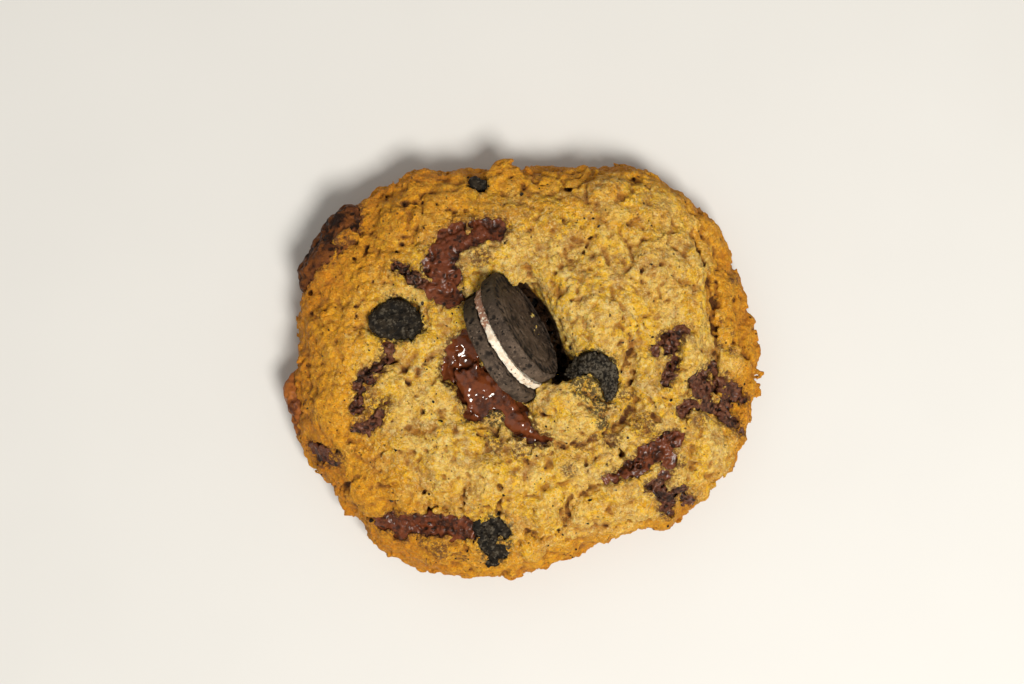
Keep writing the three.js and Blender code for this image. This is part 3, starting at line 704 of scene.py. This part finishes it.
def crust_height(grid, solid, holes):
    """Height of the dough over each column, carried smoothly across the holes in it."""
    inside = solid < 0
    has = inside.any(axis=2)
    top = np.minimum(grid.shape[2] - 1 - np.argmax(inside[:, :, ::-1], axis=2), grid.shape[2] - 2)
    here = np.take_along_axis(solid, top[:, :, None], 2)[:, :, 0]
    above = np.take_along_axis(solid, top[:, :, None] + 1, 2)[:, :, 0]
    height = grid.axis(2)[top] + grid.voxel * np.clip(-here / np.maximum(above - here, 1e-6), 0, 1)
    height = np.where(has, height, 0.0)
    unknown = has & (holes.min(axis=2) < 0.9)
    height[unknown] = height[has & ~unknown].mean()
    weight = has.astype(np.float32)
    for _ in range(1500):
        total = np.zeros_like(height)
        count = np.zeros_like(height)
        for axis, shift in ((0, 1), (0, -1), (1, 1), (1, -1)):
            total += np.roll(height * weight, shift, axis)
            count += np.roll(weight, shift, axis)
        height[unknown] = (total / np.maximum(count, 1e-6))[unknown]
    return height


def broad_relief(points):
    """How far baked clumps, creases and cracks move the smooth crust outwards."""
    bend = np.stack([waves(points, 8.0, seed) for seed in (11, 12, 13)], 1) * 2.4
    bend += np.stack([waves(points, 2.4, seed) for seed in (14, 15, 16)], 1) * 0.9
    bent = points + bend
    relief = 1.2 * waves(bent, 6.5, 20) + 1.25 * (crumbs(bent, 4.6, 21) - 0.5)
    relief += 0.8 * (crumbs(bent, 2.7, 22) - 0.45)
    _, edge, _ = cells(bent, 7.0, 31)
    cracked = smooth(waves(points, 9.0, 32), 0.05, 0.25)
    relief -= 0.7 * cracked * np.exp(-((edge * 7.0 / 0.5) ** 2))
    wiggle = [1.3 * waves(points, 1.6, seed) + 0.7 * waves(points, 0.9, seed + 2) for seed in (51, 52)]
    wandering = points + np.stack([*wiggle, np.zeros(len(points), np.float32)], 1)
    on_top = smooth(points[:, 2], 9.0, 13.0)
    for path, width, depth in FINE_CRACKS:
        away = path_distance(wandering, path) / width
        relief -= on_top * 0.8 * depth * np.exp(-(away**2))
    relief -= on_top * 1.5 * blots(wandering, HOLES)
    clump = -nearest_circle(wandering[:, 0], wandering[:, 1], CLUMPS)
    relief += on_top * 0.7 * smooth(clump, -0.2, 0.9)
    return np.maximum(relief, -DEEPEST_CREASE)


def fine_relief(points):
    """Crumbs and open pits."""
    relief = 0.62 * (crumbs(points, 1.9, 23) - 0.45) + 0.5 * (crumbs(points, 1.1, 25) - 0.45)
    relief += 0.45 * waves(points, 1.3, 27)
    nearest, _, number = cells(points, 2.6, 41)
    radius = 0.3 + 0.35 * np.abs(number - 0.85) / 0.15
    return relief - 0.8 * (number > 0.7) * np.exp(-((nearest * 2.6 / radius) ** 2))


def box_field(grid):
    """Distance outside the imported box, for trimming."""
    trim = np.full(grid.shape, -9.0, np.float32)
    for axis, (low, high) in enumerate(zip(cad_low, cad_high)):
        shape = [1, 1, 1]
        shape[axis] = -1
        line = grid.axis(axis).reshape(shape)
        trim = np.maximum(trim, np.maximum(low / MM + LIMIT - line, line - high / MM + LIMIT))
    return trim


def add_to(field, grid, reach, change):
    """Adds change(points) to the field near its zero."""
    flat = field.ravel()
    near = np.nonzero(np.abs(flat) < reach)[0]
    flat[near] += change(grid.points(near))
    return flat.reshape(grid.shape)


def nearest_circle(x, y, circles):
    """Distance on the plan from the nearest circle, negative inside it."""
    best = np.full(x.shape, 99.0, np.float32)
    for cx, cy, radius in circles:
        best = np.minimum(best, np.hypot(x - cx, y - cy) - radius)
    return best


def seen_distance(x, y, names):
    """Distance on the plan from the chocolate that shows, negative where it does."""
    best = np.full(x.shape, 99.0, np.float32)
    for name in names:
        spread = CHOCOLATE[name].spread if name in CHOCOLATE else BROKEN_SPREAD
        best = np.minimum(best, nearest_circle(x, y, SEEN[name]) - spread)
    return np.maximum(best, -nearest_circle(x, y, ISLANDS))


def seen_field(grid, names):
    """The same distance for every voxel of a grid."""
    x, y = np.meshgrid(grid.axis(0), grid.axis(1), indexing="ij")
    return np.broadcast_to(seen_distance(x, y, names)[:, :, None], grid.shape)


def ragged(points):
    """How far the edge of the chocolate that shows wanders."""
    edge = 1.3 * waves(points, 3.2, 61) + 1.2 * waves(points, 1.5, 62)
    return edge + 0.7 * (crumbs(points, 1.1, 63) - 0.45)


def blots(points, circles):
    """1 inside each circle on the plan, fading to 0 past its edge."""
    total = np.zeros(len(points), np.float32)
    for x, y, radius in circles:
        away = np.hypot(points[:, 0] - x, points[:, 1] - y) / radius
        total = np.maximum(total, np.exp(-(away**4)))
    return total


def gap_distance(points):
    """Distance on the plan from the gap beside the mini biscuit, which is painted dark as shade, negative
    inside it.
    """
    circles = nearest_circle(points[:, 0], points[:, 1], GAP_END)
    return np.minimum(path_distance(points, GAP) - GAP_HALF, circles)


def dough_openings(grid, crust, mini):
    """Where the dough is open to the pieces in it and beside the mini biscuit, negative inside."""
    melted = np.maximum(seen_field(grid, SEEN), -crust - DEEPEST_MELTED)
    melted = add_to(melted, grid, EDGE_BAND, ragged)
    whole = [name for name in BISCUIT if name not in SEEN]
    broken = np.minimum.accumulate(grid.distance(whole, MASK_REACH), axis=2)
    broken = add_to(broken, grid, EDGE_BAND,
                    lambda p: -0.35 + 1.6 * waves(p, 3.0, 65) + 1.3 * waves(p, 1.3, 66))
    columns = np.arange(grid.shape[0] * grid.shape[1]) * grid.shape[2]
    gap = gap_distance(grid.points(columns)).reshape(grid.shape[:2])
    gap = np.maximum(gap[:, :, None], -crust - DEEPEST_GAP)
    gap = add_to(gap, grid, EDGE_BAND,
                 lambda p: 1.3 * waves(p, 1.8, 67) + 1.0 * (crumbs(p, 1.3, 68) - 0.45))
    return np.minimum(np.minimum(np.minimum(melted, broken), gap), mini - 0.12)


def dough_browning(points):
    """How brown the crust is baked: most low down and towards the rim, above all at the left."""
    x, y, z = points.T
    towards_rim = smooth(np.hypot(x / 51, y / 44), 0.45, 0.98)
    browning = 1.0 - smooth(z + 3.0 * waves(points, 9.0, 71), 8.0, 20.0)
    browning += towards_rim * np.clip(0.52 - 0.48 * x / 50 + 0.04 * y / 45, 0, 1.0)
    return np.minimum(browning, 1.15)


# What the other pieces need of the dough: its voxels, its smooth crust on them, the height of
# the crust over each column, and its mesh's points and normals.
Dough = namedtuple("Dough", "grid crust height points normals")


def make_dough():
    """The dough: smooth crust, broad relief, crumbs, and openings for the pieces in its top."""
    grid = Grid(DOUGH_LOW, DOUGH_HIGH, DOUGH_VOXEL)
    solid = grid.distance(["cookie_dough"], MASK_REACH)
    chocolate = grid.distance(list(CHOCOLATE), MASK_REACH)
    biscuit = grid.distance(BISCUIT, MASK_REACH)
    mini = grid.distance(MINI, MASK_REACH)
    holes = np.minimum(np.minimum(chocolate, biscuit), mini)
    height = crust_height(grid, solid, holes)
    filling = np.maximum(holes - FILL_GAP, 0.8 * (grid.axis(2)[None, None, :] - height[:, :, None]))
    crust = blurred(np.minimum(solid, filling), DOUGH_SMOOTHING)

    def above_floor(p):
        return smooth(p[:, 2], 0.3, 4.0)

    field = add_to(crust.copy(), grid, BAND, lambda p: -0.2 - broad_relief(p) * above_floor(p))
    field = add_to(field, grid, FINE_BAND, lambda p: 0.05 - fine_relief(p) * above_floor(p))
    field = np.maximum(np.maximum(field, -dough_openings(grid, crust, mini)), box_field(grid))

    points, faces = grid.surface(field, adaptivity=0.02)
    out = normals_of(points, faces)
    x, y, z = points.T
    edges = [name for name in CHOCOLATE if name not in SEEN]
    near = np.minimum(seen_distance(x, y, [name for name in SEEN if name in CHOCOLATE]),
                      grid.sample(grid.distance(edges, MASK_REACH), points))
    near_biscuit = np.maximum(grid.sample(biscuit, points), 0)
    # How far each point lies in a hollow, which the material paints as shade.
    cavity = grid.sample(blurred(field, 6), points) / 0.5
    browning = dough_browning(points)
    smear = np.maximum(np.exp(-np.maximum(near, 0) / 0.9), 0.75 * blots(points, STAINS))
    dust = np.maximum(np.exp(-near_biscuit / 0.9), blots(points, DUSTED))
    beside = np.maximum(gap_distance(points), 0)
    fine = 0.18 * (crumbs(points, 0.8, 24) - 0.45) * smooth(z, 0.05, 0.8)
    points = points + out * fine[:, None]
    # The hollows, holes and gap given below carry painted shade to the dough's material.
    make_piece("dough", points, faces, dough_finish(), ["cookie_dough"], attributes={
        "cavity": cavity, "browning": browning, "smear": smear, "dust": dust,
        "pit_shade": blots(points, HOLES) * smooth(z, 9.0, 13.0),
        "gap": np.exp(-beside / 0.3) * smooth(-grid.sample(crust, points), 0.3, 1.0)})
    return Dough(grid, crust, height, points, out)


# ---------------------------------------------------------------- pieces set in the dough


def mesh_of_field(grid, field):
    """A piece's points and faces, and how far each point lies in a hollow, which its material paints as
    shade.
    """
    points, faces = grid.surface(field, adaptivity=0.01)
    cavity = grid.sample(blurred(field, 6), points) / 0.4
    return points, faces, cavity


def piece_grid(name, dough, margin=2.0):
    """Voxels round a node and round the circles where it shows."""
    low, high = (np.array(side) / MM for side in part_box(name))
    for x, y, radius in SEEN.get(name, []):
        i, j = (int(round(c / dough.grid.voxel)) - dough.grid.start[k] for k, c in enumerate((x, y)))
        low = np.minimum(low, (x - radius, y - radius, dough.height[i, j] - 4.0))
        high = np.maximum(high, (x + radius, y + radius, dough.height[i, j] + 1.0))
    return Grid(low - margin, high + margin, PIECE_VOXEL)


def seen_layer(grid, name, under):
    """Distance on the plan from where a piece shows, and a layer that lies under that place."""
    patch = add_to(np.array(seen_field(grid, [name])), grid, EDGE_BAND, ragged)
    return patch, np.maximum(patch - 0.8, -under - 2.6)


def make_chocolate(name, look, seed, dough, material):
    """Melted chocolate that lies level with the crust, ragged where it shows."""
    grid = piece_grid(name, dough)
    own = blurred(grid.distance([name], PIECE_REACH), 5)
    points = grid.points(np.arange(own.size))
    under = dough.grid.sample(dough.crust, points).reshape(grid.shape)
    top = look.proud + 0.5 * waves(points, 4.5, seed + 2)
    top += look.rough * (lumps(points, 1.7, seed + 3) - 0.4)
    top += 1.4 * look.rough * waves(points, 0.9, seed + 4)
    top = top.reshape(grid.shape)
    if name in SEEN:
        patch, layer = seen_layer(grid, name, under)
        field = np.maximum(np.minimum(own - 0.1, layer), under - top + 1.6 * smooth(patch, 0.3, 1.6))
    else:
        outline = -0.1 + 0.9 * waves(points, 2.8, seed) + 0.7 * waves(points, 1.2, seed + 1)
        field = np.maximum(own - outline.reshape(grid.shape), under - top)
    field = np.maximum(field, box_field(grid))
    mesh_points, faces, cavity = mesh_of_field(grid, field)
    edge = smooth(grid.sample(own, mesh_points), -1.6, 0.3)
    make_piece(name + "_melted", mesh_points, faces, material, [name],
               attributes={"cavity": cavity, "edge": edge})


def make_biscuit(name, seed, dough, material):
    """A broken piece of biscuit: lumpy, cracked and pitted."""
    grid = piece_grid(name, dough)
    own = blurred(grid.distance([name], PIECE_REACH), 4)
    points = grid.points(np.arange(own.size))
    if name in SEEN:
        under = dough.grid.sample(dough.crust, points).reshape(grid.shape)
        patch, layer = seen_layer(grid, name, under)
        own = np.maximum(np.minimum(own, layer), under + 0.1 + 1.6 * smooth(patch, 0.3, 1.6))
    relief = 0.15 + 0.3 * (lumps(points, 2.6, seed) - 0.4) + 0.4 * (lumps(points, 1.0, seed + 1) - 0.4)
    _, edge, number = cells(points, 2.6, seed + 5)
    relief += 0.45 * (number - 0.5) - 0.3 * np.exp(-((edge * 2.6 / 0.35) ** 2))
    nearest, _, number = cells(points, 1.3, seed + 9)
    relief -= 0.5 * (number > 0.6) * np.exp(-((nearest * 1.3 / 0.35) ** 2))
    field = np.maximum(own - relief.reshape(grid.shape), box_field(grid))
    mesh_points, faces, cavity = mesh_of_field(grid, field)
    make_piece(name + "_broken", mesh_points, faces, material, [name],
               attributes={"cavity": cavity})


# ---------------------------------------------------------------- the mini sandwich biscuit

TURNS = 260                 # steps round a disc
DIMPLES = 34                # in the ring near a wafer's rim
CREAM_OVERLAP = 0.32        # how far the cream reaches into each wafer's roughness


def disc_place(name):
    """One packed disc of the sandwich: its centre and three directions, its radius and thickness."""
    points, _ = nodes_mesh([name])
    points = np.unique(np.round(points, 3), axis=0)
    centre = points.mean(0)
    _, vectors = np.linalg.eigh(np.cov((points - centre).T))
    axis = vectors[:, 0] * np.sign(vectors[0, 0])
    along = np.cross(axis, (0, 0, 1.0))
    along /= np.linalg.norm(along)
    up = np.cross(along, axis)
    offset = (points - centre) @ axis
    reach = np.linalg.norm(points - centre - offset[:, None] * axis, axis=1).max()
    return (centre, axis, along, up), reach, np.ptp(offset)


def turned(place, r, t, h):
    """Points at these radii, angles and heights on a disc."""
    centre, axis, along, up = place
    return centre + (r * np.cos(t))[..., None] * along + (r * np.sin(t))[..., None] * up + h[..., None] * axis


def lathe(profile, place, relief):
    """A closed disc turned from a half profile of (radius, height) that starts and ends at 0."""
    centre, axis = place[:2]
    turn = np.arange(TURNS) * 2 * math.pi / TURNS
    ring = np.array(profile[1:-1])
    radius, height = ring[:, 0], ring[:, 1]
    slope = np.gradient(ring, axis=0)
    slope /= np.linalg.norm(slope, axis=1, keepdims=True)
    out_r, out_h = slope[:, 1], -slope[:, 0]
    r, t = np.meshgrid(radius, turn, indexing="ij")
    h = np.meshgrid(height, turn, indexing="ij")[0]
    push, cavity = relief(r, t, h)
    r = r + push * out_r[:, None]
    h = h + push * out_h[:, None]
    rim = turned(place, r, t, h).reshape(-1, 3)
    ends = np.array([centre + profile[0][1] * axis, centre + profile[-1][1] * axis])
    rows, faces = len(ring), []
    for i in range(rows - 1):
        for j in range(TURNS):
            k = (j + 1) % TURNS
            faces.append([i * TURNS + j, i * TURNS + k, (i + 1) * TURNS + k, (i + 1) * TURNS + j])
    first, last = rows * TURNS, rows * TURNS + 1
    for j in range(TURNS):
        k = (j + 1) % TURNS
        faces.append([first, k, j])
        faces.append([last, (rows - 1) * TURNS + j, (rows - 1) * TURNS + k])
    points = np.concatenate([rim, ends]).astype(np.float32)
    cavity = np.concatenate([cavity.ravel(), [0, 0]])
    return points, faces, cavity


def rounded_corner(radius, middle, corner, angles):
    """A rounded edge of a disc, round a centre at that height."""
    return [(radius - corner + corner * math.cos(a), middle + corner * math.sin(a)) for a in angles]


def rounded_profile(radius, half, corner):
    """Half profile of a disc with rounded edges, evenly stepped."""
    line = [(0.0, -half)]
    line += [(r, -half) for r in np.arange(0.4, radius - corner, 0.25)]
    bend = np.linspace(-math.pi / 2, 0, 8)
    line += rounded_corner(radius, -half + corner, corner, bend)
    line += [(radius, h) for h in np.arange(-half + corner + 0.2, half - corner, 0.22)]
    line += rounded_corner(radius, half - corner, corner, bend + math.pi / 2)
    line += [(r, half) for r in np.arange(0.4, radius - corner, 0.25)[::-1]]
    line += [(0.0, half)]
    return line


def make_wafer(name, outer, seed, material):
    """One wafer. outer is the side, +1 or -1 along the axis, that faces away from the cream."""
    place, reach, thick = disc_place(name)

    def relief(r, t, h):
        spots = turned(place, r, t, h).reshape(-1, 3).astype(np.float32)
        push = 0.2 * waves(spots, 3.0, seed) + 0.16 * (lumps(spots, 1.6, seed + 1) - 0.4)
        nearest, _, number = cells(spots, 1.7, seed + 3)
        push -= 0.45 * (number > 0.5) * np.exp(-((nearest * 1.7 / 0.45) ** 2))
        push = push.reshape(r.shape)
        face = (h * outer > thick / 2 - 0.2) & (r < reach - 1.0)
        beside = (t * DIMPLES / (2 * math.pi) + 0.5) % 1 - 0.5
        away = np.hypot(beside * 2 * math.pi / DIMPLES * r, r - 0.84 * reach)
        push -= 0.5 * face * np.exp(-((away / 0.55) ** 2))
        push -= 0.14 * face * np.exp(-(((r - 0.7 * reach) / 0.35) ** 2))
        return push - 0.24, push / 0.25

    points, faces, cavity = lathe(rounded_profile(reach, thick / 2, 0.9), place, relief)
    centre, _, along, _ = place
    # Painted shade: the wafer darkens towards one end.
    shaded_end = smooth(-(points - centre) @ along, 4.0, 12.0)
    make_piece(name + "_baked", points, faces, material, [name],
               attributes={"cavity": cavity, "shaded_end": shaded_end})


def make_cream(material):
    """The filling, a little thicker than packed so that it meets the wafers' rough faces."""
    place, reach, thick = disc_place("mini_cream")
    spread = thick + 2 * CREAM_OVERLAP

    def relief(r, t, h):
        spots = turned(place, r, t, h).reshape(-1, 3).astype(np.float32)
        push = 0.5 * waves(spots, 2.6, 901) + 0.4 * waves(spots, 0.9, 902)
        on_rim = smooth(r, reach - 0.6, reach - 0.2)
        return on_rim * push.reshape(r.shape) - 0.1, on_rim * 0

    points, faces, _ = lathe(rounded_profile(reach, spread / 2, 0.35), place, relief)
    centre, _, along, _ = place
    dirt = smooth(-(points - centre) @ along, 1.0, 7.0)
    make_piece("mini_cream_filling", points, faces, material, ["mini_cream"],
               attributes={"dirt": dirt})


# ---------------------------------------------------------------- scattered crumbs


def crumb_shape():
    """The corners and faces of a 20-sided crumb."""
    g = (1 + math.sqrt(5)) / 2
    corners = [(0, s, t * g) for s in (-1, 1) for t in (-1, 1)]
    corners += [(s, t * g, 0) for s in (-1, 1) for t in (-1, 1)]
    corners += [(t * g, 0, s) for s in (-1, 1) for t in (-1, 1)]
    corners = np.array(corners) / math.sqrt(1 + g * g)
    faces = []
    for a, b, c in itertools.combinations(range(12), 3):
        sides = [np.linalg.norm(corners[i] - corners[j]) for i, j in ((a, b), (b, c), (c, a))]
        if max(sides) < 1.2:
            out = np.cross(corners[b] - corners[a], corners[c] - corners[a]) @ corners[a]
            faces.append((a, b, c) if out > 0 else (a, c, b))
    return corners, np.array(faces)


def scatter(name, spots, normals, sizes, random, material):
    """Small broken crumbs, one at each spot, half sunk, joined into one mesh."""
    corners, faces = crumb_shape()
    points, all_faces = [], []
    for i, (spot, normal, size) in enumerate(zip(spots, normals, sizes)):
        shape = corners * random.uniform(0.6, 1.25, (12, 1)) * random.uniform(0.55, 1.3, 3)
        turn, _ = np.linalg.qr(random.normal(size=(3, 3)))
        turn *= np.sign(np.linalg.det(turn))
        points.append(shape @ turn.T * size + spot + normal * size * 0.25)
        all_faces.append(faces + 12 * i)
    points = np.concatenate(points)
    make_piece(name, points, np.concatenate(all_faces).tolist(), material, [], shade_smooth=False,
               attributes={"cavity": np.zeros(len(points))})


def make_crumbs(dough, material):
    """Fine dark crumbs on the dough, most of them close to the biscuit they broke from."""
    random = np.random.default_rng(2711)
    away = dough.grid.sample(dough.grid.distance(BISCUIT + MINI, MASK_REACH), dough.points)
    weight = 0.25 + 2.0 * np.exp(-np.maximum(away, 0) / 1.5)
    low, high = np.array(cad_low) / MM + 0.7, np.array(cad_high) / MM - 0.7
    inside = np.all((dough.points > low) & (dough.points < high), axis=1)
    patches = 0.35 + smooth(waves(dough.points, 12.0, 81), -0.1, 0.3)
    weight *= inside * (dough.points[:, 2] > 2.0) * patches
    chosen = random.choice(len(dough.points), CRUMB_COUNT, replace=False, p=weight / weight.sum())
    sizes = 0.12 + 0.38 * random.random(CRUMB_COUNT) ** 3
    scatter("dark_crumbs", dough.points[chosen], dough.normals[chosen], sizes, random, material)


# ---------------------------------------------------------------- stage, light and camera


def make_stage():
    """A plain pale floor, three metres square."""
    mesh = bpy.data.meshes.new("floor")
    half = 1.5
    corners = [(-half, -half, 0), (half, -half, 0), (half, half, 0), (-half, half, 0)]
    mesh.from_pydata(corners, [], [(0, 1, 2, 3)])
    m = Finish("pale_floor", (0.62, 0.61, 0.59))
    m.cover((0.65, 0.64, 0.62), m.noise(40.0, 2.0))
    mesh.materials.append(m.finish(0.6, m.bump(m.noise(2.0, 2.0), 0.02, 0.2)))
    placed("floor", mesh)


def add_light(name, place, target, size, power, colour):
    """A square soft light of that size, turned to face the target."""
    lamp = bpy.data.lights.new(name, "AREA")
    lamp.shape = "SQUARE"
    lamp.size = size * MM
    lamp.energy = power
    lamp.color = colour
    light = placed(name, lamp)
    light.location = Vector(place) * MM
    light.rotation_euler = (Vector(target) * MM - light.location).to_track_quat("-Z", "Y").to_euler()


def make_lights():
    """A soft key light above and in front, a weak fill behind, and an even pale surround."""
    add_light("key", (200, -290, 805), (0, 0, 15), 280, 8.4, WARM)
    add_light("fill", (-550, 350, 700), (0, 0, 10), 900, 0.8, (1.0, 0.98, 0.94))
    world = bpy.data.worlds.new("studio")
    world.use_nodes = True
    background = world.node_tree.nodes["Background"]
    background.inputs["Color"].default_value = (*WARM, 1.0)
    background.inputs["Strength"].default_value = 0.35
    bpy.context.scene.world = world


def make_camera():
    """The camera, looking straight down as an unturned one does."""
    lens = bpy.data.cameras.new("camera")
    lens.lens = CAMERA_LENS
    lens.sensor_width = 36.0
    lens.clip_start, lens.clip_end = 0.01, 10.0
    camera = placed("camera", lens)
    camera.location = [c * MM for c in CAMERA_PLACE]
    bpy.context.scene.camera = camera


# ---------------------------------------------------------------- the whole

make_camera()
make_lights()
make_stage()
bpy.context.scene.view_settings.view_transform = "Standard"

dough = make_dough()
finishes = {kind: chocolate_finish(kind) for kind in CHOCOLATE_FINISHES}
for number, (name, look) in enumerate(CHOCOLATE.items()):
    make_chocolate(name, look, 100 + 10 * number, dough, finishes[look.finish])
dark, dusty = biscuit_finish("dark_biscuit", 0), biscuit_finish("dusty_biscuit", 1)
for number, name in enumerate(BISCUIT):
    material = dusty if name == "biscuit_chunk_right" else dark
    make_biscuit(name, 300 + 20 * number, dough, material)
wafer = wafer_finish()
make_wafer("mini_wafer_left", -1, 401, wafer)
make_wafer("mini_wafer_right", 1, 421, wafer)
make_cream(cream_finish())
make_crumbs(dough, dark)
